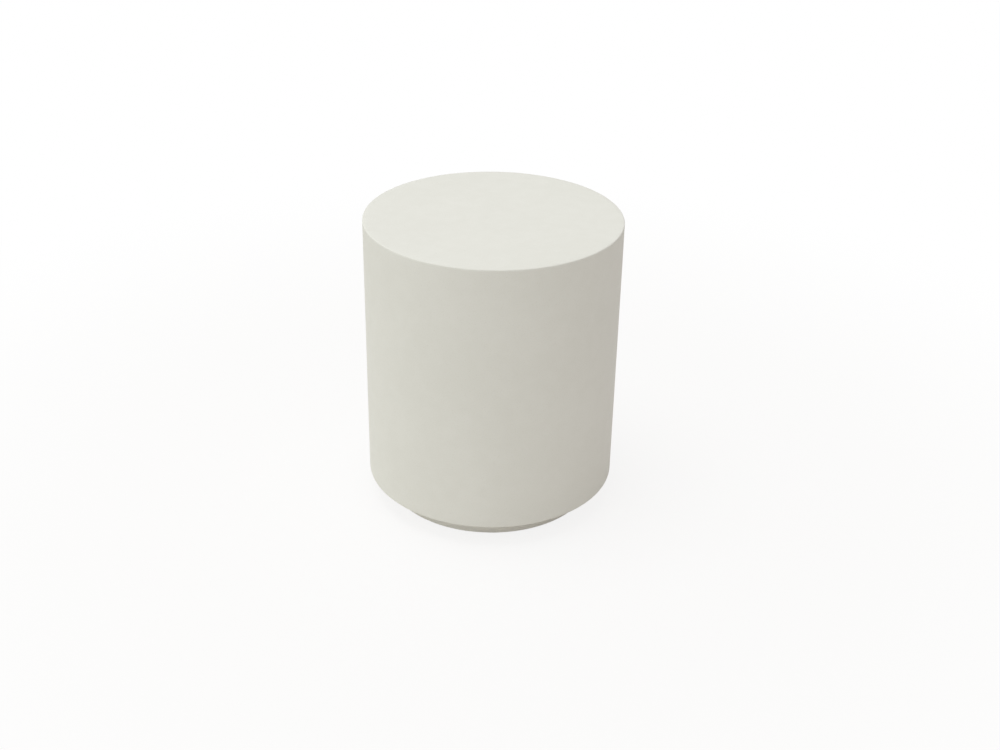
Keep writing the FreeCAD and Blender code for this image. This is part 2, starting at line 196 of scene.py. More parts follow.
class Graph:
    def __init__(self, owner):
        owner.use_nodes = True
        self.owner = owner
        self.tree = owner.node_tree

    def node(self, kind, settings=None, inputs=None, output=0):
        made = self.tree.nodes.new(kind)
        for name, value in (settings or {}).items():
            setattr(made, name, value)
        for name, value in (inputs or {}).items():
            self.put(made.inputs[name], value)
        return Value(self, made.outputs[output])

    def put(self, socket, value):
        if isinstance(value, Value):
            self.tree.links.new(value.socket, socket)
        else:
            socket.default_value = value

    def place(self, stretch=(1, 1, 1)):
        spot = self.node("ShaderNodeTexCoord", output="Object")
        scale = [1 / length for length in stretch]
        return self.node("ShaderNodeVectorMath", {"operation": "MULTIPLY"}, {0: spot, 1: scale})

    def along(self, axis):
        return self.node("ShaderNodeSeparateXYZ", {}, {0: self.place()}, output=axis)

    def grain(self, size, stretch=(1, 1, 1), detail=3.0, rough=0.5):
        inputs = {"Vector": self.place(stretch), "Scale": 1 / size, "Detail": detail, "Roughness": rough}
        return self.node("ShaderNodeTexNoise", {}, inputs)

    def blend(self, share, first, second):
        inputs = {MIX_SHARE: share, MIX_FIRST: first, MIX_SECOND: second}
        return self.node("ShaderNodeMix", {"data_type": "RGBA"}, inputs, output=MIX_RESULT)

    def relief(self, height, depth):
        return self.node("ShaderNodeBump", {}, {"Height": height, "Distance": depth, "Strength": 1.0})


# %% [markdown]
# A finish is a material with one Principled shader, which serves for stone, wood, metal and wool alike.
# A number that is the same all over could come from a node as well, but the shader's own socket
# holds it, and an export keeps it there. `wear` then connects what changes over the surface.

# %% Start a finish
class Finish(Graph):
    def __init__(self, name, **constants):
        super().__init__(bpy.data.materials.new(name))
        self.shader = self.tree.nodes["Principled BSDF"]
        self.wear(**constants)

    def wear(self, **results):
        for socket, value in results.items():
            self.put(self.shader.inputs[socket.replace("_", " ")], value)
        return self.owner


# %% [markdown]
# ## Sealed concrete
#
# The drum and the plinth are cast in a pale ivory mix and sealed to an even, matt skin. A flat colour
# would do from across a room, where the real table reads as one tone. Close up such a skin is never
# one colour: the cement clouds over a hand's width, fine sand shows through, and a few pinholes are
# left where air met the mould. Each of these is a noise of its own size, with a small contrast. The
# pinholes are only dents in the relief, so their darker colour is painted shade inside the pits.

# %% Mix the concrete
IVORY = (0.794, 0.794, 0.734, 1)
IVORY_CLOUD = (0.776, 0.776, 0.714, 1)
SAND_TONE = (0.66, 0.63, 0.55, 1)
PINHOLE_SHADE = (0.50, 0.48, 0.42, 1)
CLOUD_SIZE = 0.16
MOTTLE_SIZE = 0.022
SAND_SIZE = 0.0012
PINHOLE_SPACING = 0.011
PINHOLE_FLOOR = 0.02
PINHOLE_RIM = 0.055
NO_PINHOLE_BELOW = 0.80
PINHOLE_ABOVE = 0.82
CONCRETE_RELIEF = 0.0004


def sealed_concrete():
    finish = Finish("sealed_concrete", IOR=1.45)
    clouds = finish.grain(CLOUD_SIZE, detail=4.0, rough=0.55)
    mottle = finish.grain(MOTTLE_SIZE)
    sand = finish.grain(SAND_SIZE, detail=2.0)
    cells = {"Vector": finish.place(), "Scale": 1 / PINHOLE_SPACING}
    distance = finish.node("ShaderNodeTexVoronoi", {}, cells, output="Distance")
    lot = finish.node("ShaderNodeTexVoronoi", {}, cells, output="Color")
    chance = finish.node("ShaderNodeSeparateColor", {}, {"Color": lot})
    pits = 1 - distance.rise(PINHOLE_FLOOR, PINHOLE_RIM)
    pinholes_and_shade = pits * chance.rise(NO_PINHOLE_BELOW, PINHOLE_ABOVE)
    tone = 0.6 * clouds + 0.4 * mottle
    cement = finish.blend(tone.rise(0.36, 0.64), IVORY, IVORY_CLOUD)
    sanded = finish.blend(0.3 * sand.rise(0.56, 0.70), cement, SAND_TONE)
    return finish.wear(
        # The pinholes' darker colour is painted shade inside the pits; their roughness and relief are
        # real.
        Base_Color=finish.blend(0.7 * pinholes_and_shade, sanded, PINHOLE_SHADE),
        Roughness=0.66 + 0.16 * mottle + 0.12 * pinholes_and_shade,
        Normal=finish.relief(0.07 * mottle + 0.05 * sand - 0.35 * pinholes_and_shade, CONCRETE_RELIEF),
    )


concrete = sealed_concrete()
print("concrete has", len(concrete.node_tree.nodes), "nodes")

# %% [markdown]
# ## Birch plywood
#
# The panel that closes the drum from below is bare birch plywood. Its face veneer is peeled from
# a log, so the growth rings come out as broad wavy bands along the grain, with fine fibres and
# short dark pores over them. A picture of wood would be quick but would repeat. Here a noise that is
# stretched along X makes each layer, and the plies across the panel's thickness follow its height.

# %% Saw the plywood
BIRCH = (0.70, 0.53, 0.34, 1)
BIRCH_RING = (0.56, 0.38, 0.21, 1)
BIRCH_PORE = (0.36, 0.23, 0.12, 1)
RING_SPACING = 0.0273
RING_WANDER = 26
WANDER_SIZE = 0.11
FIBRE_SIZE = 0.0022
PORE_SIZE = 0.0009
PLY_THICKNESS = 0.0015
ALONG_GRAIN = (14, 1, 1)
WOOD_RELIEF = 0.0002


def birch_plywood():
    finish = Finish("birch_plywood", IOR=1.45)
    wander = finish.grain(WANDER_SIZE, stretch=(4, 1, 1), detail=1.0)
    across = finish.along("Y") * (2 * math.pi / RING_SPACING)
    rings = 0.5 + 0.5 * (across + RING_WANDER * wander).math_node("SINE")
    fibres = finish.grain(FIBRE_SIZE, stretch=ALONG_GRAIN, detail=4.0, rough=0.6)
    pores = finish.grain(PORE_SIZE, stretch=ALONG_GRAIN, detail=2.0).rise(0.63, 0.72)
    plies = finish.along("Z").math_node("PINGPONG", PLY_THICKNESS) * (0.3 / PLY_THICKNESS)
    darkness = 0.55 * rings * fibres + 0.5 * fibres.rise(0.42, 0.75) + plies
    veneer = finish.blend(darkness, BIRCH, BIRCH_RING)
    return finish.wear(
        Base_Color=finish.blend(0.6 * pores, veneer, BIRCH_PORE),
        Roughness=0.58 + 0.2 * fibres,
        Normal=finish.relief(0.7 * fibres - 0.6 * pores, WOOD_RELIEF),
    )


plywood = birch_plywood()
print("plywood has", len(plywood.node_tree.nodes), "nodes")

# %% [markdown]
# ## Zinc plate
#
# Screws, washers and levelling stems are zinc-plated steel: a cool grey with a faint blue or straw
# cast that drifts over each piece, because the clear layer on the zinc varies in thickness. One even
# grey would pass for chrome. A noise of a few millimetres moves the colour between the two
# casts, and a finer one roughens the gloss.

# %% Plate the steel
ZINC_BLUE = (0.60, 0.63, 0.68, 1)
ZINC_STRAW = (0.68, 0.65, 0.56, 1)
DRIFT_SIZE = 0.006
SPANGLE_SIZE = 0.0007
SPANGLE_RELIEF = 0.00002


def zinc_plate():
    finish = Finish("zinc_plate", Metallic=1.0)
    drift = finish.grain(DRIFT_SIZE, detail=2.0)
    spangle = finish.grain(SPANGLE_SIZE, detail=2.0)
    return finish.wear(
        Base_Color=finish.blend(drift.rise(0.35, 0.65), ZINC_BLUE, ZINC_STRAW),
        Roughness=0.26 + 0.16 * drift + 0.12 * spangle,
        Normal=finish.relief(spangle, SPANGLE_RELIEF),
    )


zinc = zinc_plate()
print("zinc has", len(zinc.node_tree.nodes), "nodes")

# %% [markdown]
# ## Turned brass
#
# The threaded inserts are turned from brass bar. A lathe leaves fine marks round the axis, which
# could be cut into the mesh at great cost. For an upright sleeve a quick wave along Z is enough as
# relief, and a tarnish of a few millimetres dulls the colour and the gloss together.

# %% Turn the brass
BRASS_CLEAN = (0.80, 0.62, 0.31, 1)
BRASS_DULL = (0.58, 0.42, 0.20, 1)
TARNISH_SIZE = 0.005
TOOL_MARK = 0.0004
TOOL_RELIEF = 0.00001


def turned_brass():
    finish = Finish("turned_brass", Metallic=1.0)
    tarnish = finish.grain(TARNISH_SIZE)
    marks = (finish.along("Z") * (2 * math.pi / TOOL_MARK)).math_node("SINE")
    return finish.wear(
        Base_Color=finish.blend(tarnish.rise(0.4, 0.7), BRASS_CLEAN, BRASS_DULL),
        Roughness=0.24 + 0.2 * tarnish,
        Normal=finish.relief(marks, TOOL_RELIEF),
    )


brass = turned_brass()
print("brass has", len(brass.node_tree.nodes), "nodes")

# %% [markdown]
# ## Moulded nylon
#
# The levelling feet are black nylon from a spark-eroded mould, which gives a fine even grain. A foot
# that has been pushed over floors also has pale scuffs. They could be painted one by one, but a
# rough noise with a high threshold leaves only its peaks, and these both lighten the black and
# take away some of its gloss.

# %% Mould the nylon
NYLON = (0.022, 0.022, 0.024, 1)
NYLON_SCUFF = (0.085, 0.083, 0.080, 1)
MOULD_GRAIN = 0.0004
SCUFF_SIZE = 0.004
MOULD_RELIEF = 0.00004


def moulded_nylon():
    finish = Finish("moulded_nylon", IOR=1.53)
    grain = finish.grain(MOULD_GRAIN, detail=2.0)
    scuffs = finish.grain(SCUFF_SIZE, detail=4.0, rough=0.65).rise(0.55, 0.72)
    return finish.wear(
        Base_Color=finish.blend(0.6 * scuffs, NYLON, NYLON_SCUFF),
        Roughness=0.42 + 0.12 * grain + 0.15 * scuffs,
        Normal=finish.relief(grain, MOULD_RELIEF),
    )


nylon = moulded_nylon()
print("nylon has", len(nylon.node_tree.nodes), "nodes")

# %% [markdown]
# ## Satin sealant
#
# The bead round the panel is a grey sealant that dries to a satin skin and takes up a little dust in
# time. A plain grey would look wet, so one noise of dust changes the colour and the gloss together.
# The finger that drew the bead leaves low waves along it, so their noise is squeezed in Z, across
# the bead.

# %% Mix the sealant
SEALANT = (0.56, 0.55, 0.51, 1)
SEALANT_DUST = (0.47, 0.45, 0.40, 1)
DUST_SIZE = 0.012
FINGER_SIZE = 0.003
FINGER_RELIEF = 0.00015


def satin_sealant():
    finish = Finish("satin_sealant", IOR=1.41)
    dust = finish.grain(DUST_SIZE, detail=4.0)
    finger = finish.grain(FINGER_SIZE, stretch=(1, 1, 0.3))
    return finish.wear(
        Base_Color=finish.blend(dust.rise(0.4, 0.7), SEALANT, SEALANT_DUST),
        Roughness=0.34 + 0.3 * dust,
        Normal=finish.relief(finger, FINGER_RELIEF),
    )


sealant = satin_sealant()
print("sealant has", len(sealant.node_tree.nodes), "nodes")

# %% [markdown]
# ## Pressed felt
#
# The strips under the plinth are pressed wool in several greys. Real hairs would be far too many to
# model. Two noises, one stretched along X and one along Y, lie over each other, and the greater of
# them wins at each spot, as a hair that lies on top hides the one below. A constant sheen gives
# the soft edge of the nap.

# %% Press the felt
FELT_DARK = (0.075, 0.070, 0.066, 1)
FELT_PALE = (0.20, 0.19, 0.18, 1)
WOOL_SIZE = 0.0006
WOOL_STRETCH = 6
PATCH_SIZE = 0.014
WOOL_RELIEF = 0.0004


def pressed_felt():
    finish = Finish("pressed_felt", Sheen_Weight=0.35, Sheen_Roughness=0.6)
    wool_x = finish.grain(WOOL_SIZE, stretch=(WOOL_STRETCH, 1, 1), detail=2.0)
    wool_y = finish.grain(WOOL_SIZE, stretch=(1, WOOL_STRETCH, 1), detail=2.0)
    patches = finish.grain(PATCH_SIZE)
    wool = wool_x | wool_y
    return finish.wear(
        Base_Color=finish.blend((0.75 * wool + 0.25 * patches).rise(0.45, 0.72), FELT_DARK, FELT_PALE),
        Roughness=0.86 + 0.12 * patches,
        Normal=finish.relief(wool, WOOL_RELIEF),
    )


felt = pressed_felt()
print("felt has", len(felt.node_tree.nodes), "nodes")

# %% [markdown]
# ## Dress the solids
#
# The record says which material slot each solid takes. Panel, screws, washers and inserts could be
# modelled anew too, but they have their final shape in the CAD model, and little of them shows.
# They keep their own meshes and only change their finish.

# %% Assign finishes by slot
FINISHES = {
    "concrete": concrete,
    "plywood": plywood,
    "sealant": sealant,
    "brass": brass,
    "zinc_steel": zinc,
    "nylon": nylon,
    "felt": felt,
}
for subpart in frame["record"]["subparts"]:
    for material_slot in frame["nodes"][subpart["node"]].material_slots:
        material_slot.material = FINISHES[subpart["material_slot"]]

# %% [markdown]
# ## Skins
#
# Nearly everything on this table is round. Blender's own cylinder has no rounded rim, no thread and no
# hollow, so one helper serves for all the pieces that are modelled here. `skin` stretches faces over
# rows of points, where each row is a closed loop or a single point that shuts an end. With `ring`,
# the last row also joins the first.

# %% Stretch a skin over rows of points
def skin(rows, ring=False):
    shell = bmesh.new()
    laid = [[shell.verts.new(point) for point in row] for row in rows]
    pairs = list(zip(laid, laid[1:]))
    if ring:
        pairs.append((laid[-1], laid[0]))
    for first, second in pairs:
        for k in range(max(len(first), len(second))):
            here = (first[k % len(first)], second[k % len(second)])
            there = (second[(k + 1) % len(second)], first[(k + 1) % len(first)])
            shell.faces.new(dict.fromkeys(here + there))
    bmesh.ops.recalc_face_normals(shell, faces=shell.faces)
    return shell


# %% [markdown]
# `lathe` makes such rows from an outline of radius and height. Blender's Screw modifier turns
# outlines too, but rows of points can still be moved one by one before the faces are made. `loop`
# lays a single row and takes a radius for each of its points, so it doesn't have to be a circle.

# %% Turn an outline
def loop(radii, height, centre):
    angles = [2 * math.pi * k / len(radii) for k in range(len(radii))]
    return [
        (centre[0] + radius * math.cos(angle), centre[1] + radius * math.sin(angle), height)
        for radius, angle in zip(radii, angles)
    ]


def lathe(points, count, centre=(0, 0)):
    return [loop([radius] * (count if radius > 0 else 1), height, centre) for radius, height in points]


# %% [markdown]
# An outline could be a list of points, but its sizes would be lost among them. It is joined from
# straight runs and round arcs instead, each with as many points as it needs, and `outline` leaves out
# a point where one stretch ends and the next begins.

# %% Draw an outline
SAME_POINT = 0.000001


def arc(centre, radius, first, last, steps=6):
    angles = [math.radians(first + (last - first) * k / steps) for k in range(steps + 1)]
    return [(centre[0] + radius * math.cos(a), centre[1] + radius * math.sin(a)) for a in angles]


def run(first, last, step):
    pieces = max(1, round(math.dist(first, last) / step))
    shares = [k / pieces for k in range(pieces + 1)]
    return [tuple(a + (b - a) * share for a, b in zip(first, last)) for share in shares]


def outline(*stretches):
    points = []
    for point in sum(stretches, []):
        if not points or math.dist(point, points[-1]) > SAME_POINT:
            points.append(point)
    if math.dist(points[0], points[-1]) < SAME_POINT:
        points.pop()
    return points


# %% [markdown]
# `add_piece` turns a finished skin into an object. Flat faces would show as facets, and smooth shading
# alone would blur the corners, so the faces are smoothed and only edges above a certain angle
# stay sharp. The piece gets its finish, rides on a body and hides the solid that it stands for.

# %% Add a piece
SHARP_ANGLE = math.radians(40)


def add_piece(name, shell, slot, body, node):
    mesh = bpy.data.meshes.new(name)
    shell.to_mesh(mesh)
    shell.free()
    mesh.shade_smooth()
    mesh.set_sharp_from_angle(angle=SHARP_ANGLE)
    mesh.materials.append(FINISHES[slot])
    piece = bpy.data.objects.new(name, mesh)
    bpy.context.scene.collection.objects.link(piece)
    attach(piece, body)
    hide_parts(node)
    print(name, "has", len(mesh.polygons), "faces")
    return piece


# %% [markdown]
# ## Castings
#
# A cast wall is never a perfect cylinder. The mould gives by a fraction of a millimetre over a hand's
# width, and the edges lose a little more when it is stripped. A smooth CAD solid with a relief in its
# finish would not show that along its outline, so the outer skin is turned again with many points,
# and each one sinks by a noise of its own place. It only ever sinks, which keeps the casting
# inside the size of its solid. A seat, on which another piece lies, keeps its height.

# %% Sink a form unevenly
SINK_LEAST = 0.00004
WAVE_LENGTH = 0.13
WAVE_DEPTH = 0.00025
NIBBLE_LENGTH = 0.016
NIBBLE_DEPTH = 0.0006
SLACK = 0.0002


def unevenness(place, length):
    return 0.5 + 0.5 * noise.noise(place / length)


def sink_unevenly(form, seat=math.inf):
    form.normal_update()
    for vertex in form.verts:
        level = vertex.normal.z ** 2
        on_edge = 4 * level * (1 - level)
        wave = unevenness(vertex.co, WAVE_LENGTH)
        nibble = max(0.0, noise.noise(vertex.co / NIBBLE_LENGTH))
        push = vertex.normal * (SINK_LEAST + WAVE_DEPTH * wave + NIBBLE_DEPTH * nibble * on_edge)
        if vertex.co.z > seat - SLACK:
            push.z = 0
        vertex.co -= push
    return form


# %% [markdown]
# The hollow, its bosses and every hole are to stay as they are in the CAD, so a casting is what its
# form and its solid have in common. The solid's mesh has few facets on its roundings, and they would
# cut flats into the form's fine ones. A copy of the solid is therefore swollen first, by moving
# the points of its outside faces away from it, past the form.

# %% Swell a copy of a solid
SWELLING = 0.005


def swollen_copy(node, outer, low, high, inner=-math.inf):
    solid = bmesh.new()
    solid.from_mesh(frame["nodes"][node].data)
    bmesh.ops.remove_doubles(solid, verts=solid.verts, dist=SAME_POINT)
    for vertex in solid.verts:
        radius = vertex.co.xy.length
        if radius > outer - SLACK:
            vertex.co.xy *= 1 + SWELLING / radius
        if radius < inner + SLACK:
            vertex.co.xy *= 1 - SWELLING / radius
        if vertex.co.z > high - SLACK:
            vertex.co.z += SWELLING
        if vertex.co.z < low + SLACK:
            vertex.co.z -= SWELLING
    return solid


# %% [markdown]
# A Boolean modifier finds the common part. It needs two objects, which are only there for the cut.
# The solid's mesh brings corner normals along from the CAD. They no longer fit once its faces
# are cut, and would leave dark streaks, so they are dropped before. Where an edge of one shell
# just misses a corner of the other, the cut leaves crumbs, faces far too small to see, so points
# that nearly coincide are merged afterwards.

# %% Keep what two shells have in common
CRUMB = 0.00001


def scratch_object(shell):
    mesh = bpy.data.meshes.new("scratch")
    shell.to_mesh(mesh)
    shell.free()
    if mesh.has_custom_normals:
        mesh.attributes.remove(mesh.attributes["custom_normal"])
    made = bpy.data.objects.new("scratch", mesh)
    bpy.context.scene.collection.objects.link(made)
    return made


def common_part(first, second):
    kept, tool = scratch_object(first), scratch_object(second)
    cut = kept.modifiers.new("common", "BOOLEAN")
    cut.operation = "INTERSECT"
    cut.solver = "EXACT"
    cut.object = tool
    result = bmesh.new()
    result.from_object(kept, bpy.context.evaluated_depsgraph_get())
    bmesh.ops.remove_doubles(result, verts=result.verts, dist=CRUMB)
    bmesh.ops.dissolve_degenerate(result, edges=result.edges, dist=CRUMB)
    for used in (kept, tool):
        bpy.data.meshes.remove(used.data)
    print("open edges after the cut:", sum(not edge.is_manifold for edge in result.edges))
    return result


# %% [markdown]
# The drum is cast in one piece, so its top, rim and wall run into each other without a seam. A bevel
# on a cylinder could round the edges, but arcs in the outline have just the radii of the solid. The
# form runs from the middle of the top over the rim, down the wall and round the lower edge, and rows
# every few millimetres give the noise enough points to move.

# %% Cast the drum
FORM_STEP = 0.008
FORM_COUNT = 288
RIM_ROUNDING = 0.002
LOWER_ROUNDING = 0.003

rim_radius = DRUM_RADIUS - RIM_ROUNDING
rim_height = drum_high.z - RIM_ROUNDING
lower_radius = DRUM_RADIUS - LOWER_ROUNDING
lower_height = drum_low.z + LOWER_ROUNDING
drum_outline = outline(
    run((0, drum_high.z), (rim_radius, drum_high.z), FORM_STEP),
    arc((rim_radius, rim_height), RIM_ROUNDING, 90, 0),
    run((DRUM_RADIUS, rim_height), (DRUM_RADIUS, lower_height), FORM_STEP),
    arc((lower_radius, lower_height), LOWER_ROUNDING, 0, -90),
    [(0, drum_low.z)],
)
drum_form = sink_unevenly(skin(lathe(drum_outline, FORM_COUNT)))
drum_solid = swollen_copy("drum_shell", lower_radius, low=lower_height, high=rim_height)
add_piece("cast_drum_shell", common_part(drum_solid, drum_form), "concrete", "table", "drum_shell")

# %% [markdown]
# The plinth is a second casting, a ring under the drum. It could be sunk as a plain tube, but a sharp
# lower edge would crumble as it leaves the mould, so the form has both lower edges rounded. Its
# top is the panel's seat.

# %% Cast the plinth
PLINTH_ROUNDING = 0.002

seat = plinth_high.z
outer_round = PLINTH_RADIUS - PLINTH_ROUNDING
inner_round = PLINTH_BORE + PLINTH_ROUNDING
round_height = plinth_low.z + PLINTH_ROUNDING
plinth_outline = outline(
    run((PLINTH_RADIUS, seat), (PLINTH_RADIUS, round_height), FORM_STEP),
    arc((outer_round, round_height), PLINTH_ROUNDING, 0, -90),
    run((outer_round, plinth_low.z), (inner_round, plinth_low.z), FORM_STEP),
    arc((inner_round, round_height), PLINTH_ROUNDING, -90, -180),
    run((PLINTH_BORE, round_height), (PLINTH_BORE, seat), FORM_STEP),
)
plinth_form = sink_unevenly(skin(lathe(plinth_outline, FORM_COUNT), ring=True), seat)
plinth_solid = swollen_copy("plinth_ring", outer_round, low=round_height, high=seat, inner=inner_round)
add_piece("cast_plinth_ring", common_part(plinth_solid, plinth_form), "concrete", "table", "plinth_ring")

# %% [markdown]
# ## Sealant bead
#
# A bead of sealant closes the gap between the panel and the drum. It is drawn out with a wet
# finger, which leaves a hollow face of even width with slight waves along it. The CAD bead's slanted
# face would look machined, so the outline has an arc in its place, and the waves sink into it as on
# a casting.

# %% Draw the bead
BEAD_COUNT = 240
BEAD_WAVE_LENGTH = 0.03
BEAD_WAVE_DEPTH = 0.0003

seal_low, seal_high = solid_box("edge_seal")
panel_low, panel_high = solid_box("base_panel")
bead_height = panel_low.z - seal_low.z
bead_outline = outline(
    arc((seal_high.x - bead_height, seal_low.z), bead_height, 90, 0, steps=8),
    [(seal_high.x, seal_high.z), (panel_high.x, seal_high.z), (panel_high.x, panel_low.z)],
)
bead = skin(lathe(bead_outline, BEAD_COUNT), ring=True)
bead.normal_update()
for vertex in bead.verts:
    if vertex.normal.z < 0:
        vertex.co.z += BEAD_WAVE_DEPTH * unevenness(vertex.co, BEAD_WAVE_LENGTH)
add_piece("tooled_bead", bead, "sealant", "table", "edge_seal")

# %% [markdown]
# ## Levelling stems
#
# Each stem is an M8 screw with a wide head that turns in the foot, and a hexagon socket for a key
# from below. The CAD solid is a plain rod, since a helix would be heavy to calculate with. Here the
# thread is real: the rod's radius depends on the height and on the angle together, so the crest
# climbs by one pitch in a turn. A hexagon is only another radius that changes with the angle.

# %% Shape a thread and a hexagon
STEM_COUNT = 48
STEM_ANGLES = [2 * math.pi * k / STEM_COUNT for k in range(STEM_COUNT)]
STEM_RADIUS = 0.00395
THREAD_PITCH = 0.00125
THREAD_DEPTH = 0.00072
CREST_SHARE = 0.15
ROOT_SHARE = 0.25


def thread_radii(height, most):
    radii = []
    for angle in STEM_ANGLES:
        phase = (height / THREAD_PITCH - angle / (2 * math.pi)) % 1
        from_crest = 2 * min(phase, 1 - phase)
        fall = (from_crest - CREST_SHARE) / (1 - CREST_SHARE - ROOT_SHARE)
        radii.append(min(most, STEM_RADIUS - THREAD_DEPTH * min(1, max(0, fall))))
    return radii


def hexagon_radii(flats):
    sixth = math.pi / 3
    return [flats / 2 / math.cos(angle % sixth - sixth / 2) for angle in STEM_ANGLES]


# %% [markdown]
# Head, rod and socket could be three shapes joined by Booleans. One skin is cleaner: it runs from the
# socket's floor, out over the head and up the thread to the tip. The thread's rows are a tenth of
# a pitch apart, so that the flanks come out straight.

# %% Cut the stems
THREAD_STEPS = 10
STEM_HEAD_HEIGHT = 0.003
STEM_HEAD_ROUNDING = 0.0005
STEM_KEY = 0.004
STEM_KEY_DEPTH = 0.002
STEM_KEY_CHAMFER = 0.0004
STEM_TIP_CHAMFER = 0.001


def cut_stem(number):
    node = f"leveller_stem_{number}"
    low, high = solid_box(node)
    centre = (low + high) / 2
    edge = (high.x - low.x) / 2 - STEM_HEAD_ROUNDING
    head_top = low.z + STEM_HEAD_HEIGHT
    socket_floor = low.z + STEM_KEY_DEPTH
    rows = [
        loop([0], socket_floor, centre),
        loop(hexagon_radii(STEM_KEY), socket_floor, centre),
        loop(hexagon_radii(STEM_KEY), low.z + STEM_KEY_CHAMFER, centre),
        loop(hexagon_radii(STEM_KEY + 2 * STEM_KEY_CHAMFER), low.z, centre),
    ]
    head = outline(
        arc((edge, low.z + STEM_HEAD_ROUNDING), STEM_HEAD_ROUNDING, -90, 0, steps=3),
        arc((edge, head_top - STEM_HEAD_ROUNDING), STEM_HEAD_ROUNDING, 0, 90, steps=3),
    )
    rows += lathe(head, STEM_COUNT, centre)
    steps = round((high.z - head_top) / THREAD_PITCH * THREAD_STEPS)
    for k in range(steps + 1):
        height = head_top + (high.z - head_top) * k / steps
        most = STEM_RADIUS - max(0, height - (high.z - STEM_TIP_CHAMFER))
        rows.append(loop(thread_radii(height, most), height, centre))
    rows.append(loop([0], high.z, centre))
    return add_piece(f"threaded_stem_{number}", skin(rows), "zinc_steel", node, node)


LEVELLER_NUMBERS = range(1, 5)
for number in LEVELLER_NUMBERS:
    cut_stem(number)

# %% [markdown]
# ## Levelling feet
#
# A foot is a moulded disc that snaps over the stem's head. Two shallow grooves ring the sole, as
# moulded glides have them for grip, and the outer edges are rounded so that the foot slides without
# catching. Cylinders and Booleans could make it, but one turned outline shows the whole section: out
# along the sole, up the side, back over the top and down inside, round the hollow for the head.

# %% Mould the feet
FOOT_COUNT = 96
FOOT_FLOOR = 0.003
FOOT_POCKET_HEIGHT = 0.0036
FOOT_POCKET_RADIUS = 0.0068
FOOT_NECK_RADIUS = 0.0043
FOOT_KEY_RADIUS = 0.0035
FOOT_KEY_CHAMFER = 0.0006
FOOT_SOLE_ROUNDING = 0.002
FOOT_TOP_ROUNDING = 0.0008
GROOVE_PLACES = (0.0068, 0.0098)
GROOVE_RADIUS = 0.0006


def mould_foot(number):
    node = f"leveller_foot_{number}"
    low, high = solid_box(node)
    radius = (high.x - low.x) / 2
    sole_corner = (radius - FOOT_SOLE_ROUNDING, low.z + FOOT_SOLE_ROUNDING)
    top_corner = (radius - FOOT_TOP_ROUNDING, high.z - FOOT_TOP_ROUNDING)
    pocket_floor = low.z + FOOT_FLOOR
    pocket_top = pocket_floor + FOOT_POCKET_HEIGHT
    key_hole = [(FOOT_KEY_RADIUS, low.z + FOOT_KEY_CHAMFER), (FOOT_KEY_RADIUS + FOOT_KEY_CHAMFER, low.z)]
    grooves = [arc((place, low.z), GROOVE_RADIUS, 180, 0, steps=5) for place in GROOVE_PLACES]
    pocket = [
        (FOOT_NECK_RADIUS, high.z),
        (FOOT_NECK_RADIUS, pocket_top),
        (FOOT_POCKET_RADIUS, pocket_top),
        (FOOT_POCKET_RADIUS, pocket_floor),
        (FOOT_KEY_RADIUS, pocket_floor),
    ]
    sole = arc(sole_corner, FOOT_SOLE_ROUNDING, -90, 0)
    top = arc(top_corner, FOOT_TOP_ROUNDING, 0, 90, steps=4)
    foot_outline = outline(key_hole, *grooves, sole, top, pocket)
    shell = skin(lathe(foot_outline, FOOT_COUNT, (low + high) / 2), ring=True)
    return add_piece(f"moulded_foot_{number}", shell, "nylon", node, node)


for number in LEVELLER_NUMBERS:
    mould_foot(number)

# %% [markdown]
# ## Felt strips
#
# A strip of felt is glued under the plinth between each two levelling feet. It is die-cut from a
# sheet, so its face is flat, but the cut edges are soft. A bevelled block would look like rubber, so
# the strip is a section with round corners and many points that is carried round the table's axis.

# %% Round a strip's section
FELT_STEP = 0.0025
FELT_ROUNDING = 0.0007


def felt_section(inner, outer, low, high):
    r = FELT_ROUNDING
    return outline(
        run((inner + r, low), (outer - r, low), FELT_STEP),
        arc((outer - r, low + r), r, -90, 0, steps=3),
        arc((outer - r, high - r), r, 0, 90, steps=3),
        run((outer - r, high), (inner + r, high), FELT_STEP),
        arc((inner + r, high - r), r, 90, 180, steps=3),
        arc((inner + r, low + r), r, 180, 270, steps=3),
    )


# %% [markdown]
# The strip's radii and angles are read from the solid that it stands for. Every point then sinks by a
# fine noise, which makes the surface lumpy with wool.

# %% Cut the felt
FELT_LUMP = 0.003
FELT_LUMP_DEPTH = 0.00022


def cut_felt(number):
    node = f"felt_strip_{number}"
    corners = [vertex.co for vertex in frame["nodes"][node].data.vertices]
    low, high = solid_box(node)
    towards = (low + high) / 2
    radii = [corner.xy.length for corner in corners]
    inner, outer = min(radii), max(radii)
    half = max(towards.xy.angle_signed(corner.xy) for corner in corners)
    start = math.atan2(towards.y, towards.x) - half
    section = felt_section(inner, outer, low.z, high.z)
    steps = round(2 * half * outer / FELT_STEP)
    rows = []
    for k in range(steps + 1):
        angle = start + 2 * half * k / steps
        rows.append([(r * math.cos(angle), r * math.sin(angle), z) for r, z in section])
    ends = [sum((Vector(point) for point in row), Vector()) / len(row) for row in (rows[0], rows[-1])]
    shell = skin([[ends[0]]] + rows + [[ends[1]]])
    shell.normal_update()
    for vertex in shell.verts:
        lump = unevenness(vertex.co, FELT_LUMP)
        vertex.co -= vertex.normal * FELT_LUMP_DEPTH * lump
    strip = add_piece(f"felt_{number}", shell, "felt", "table", node)
    area = half * (outer ** 2 - inner ** 2)
    return strip


for number in LEVELLER_NUMBERS:
    cut_felt(number)

# %% [markdown]
# ## Floor
#
# The photograph was cut out on white, so the floor is pale and the background white. More light would
# also bleach the table. Instead, what the camera, mirrors and clear glass see directly is told apart
# from what only lights the table, and just the first is plain white. The floor lies a hair below the
# felt, because two faces in one plane would show through each other.

# %% Lay the floor
FLOOR_HALF = 14
FLOOR_DROP = 0.0004

